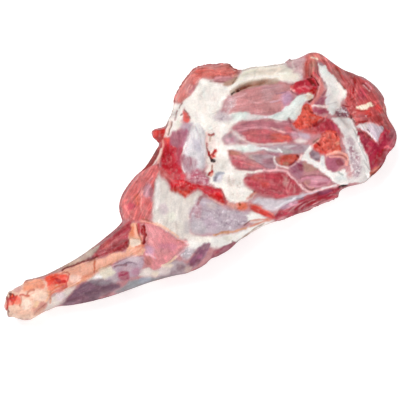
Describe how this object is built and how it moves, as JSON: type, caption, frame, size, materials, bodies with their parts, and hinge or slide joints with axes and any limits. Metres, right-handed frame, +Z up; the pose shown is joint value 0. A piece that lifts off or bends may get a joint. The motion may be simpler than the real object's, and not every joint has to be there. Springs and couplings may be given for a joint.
{
  "type": "raw beef foreleg",
  "caption": "Raw bone-in beef foreleg lying inner side up: broad shoulder of red muscle under white fascia, narrowing to a forearm with bared bone and knuckle.",
  "frame": {"origin": "middle of the leg's box in plan, on the surface that it rests on", "axes": "+X up the leg from the bare knuckle to the top edge of the shoulder blade, +Y to the front of the leg, +Z up out of the inner side, which the picture shows"},
  "size_m": [0.7928, 0.3492, 0.1134],
  "materials": {
    "raw_meat": "wet raw muscle, rose to dark red, with white and cream fascia, cartilage and a thin bluish film",
    "bone": "damp cream bone with orange and red blood stains"
  },
  "bodies": {
    "root": {"foreleg_meat": "raw_meat", "forearm_bone": "bone"}
  },
  "joints": []
}
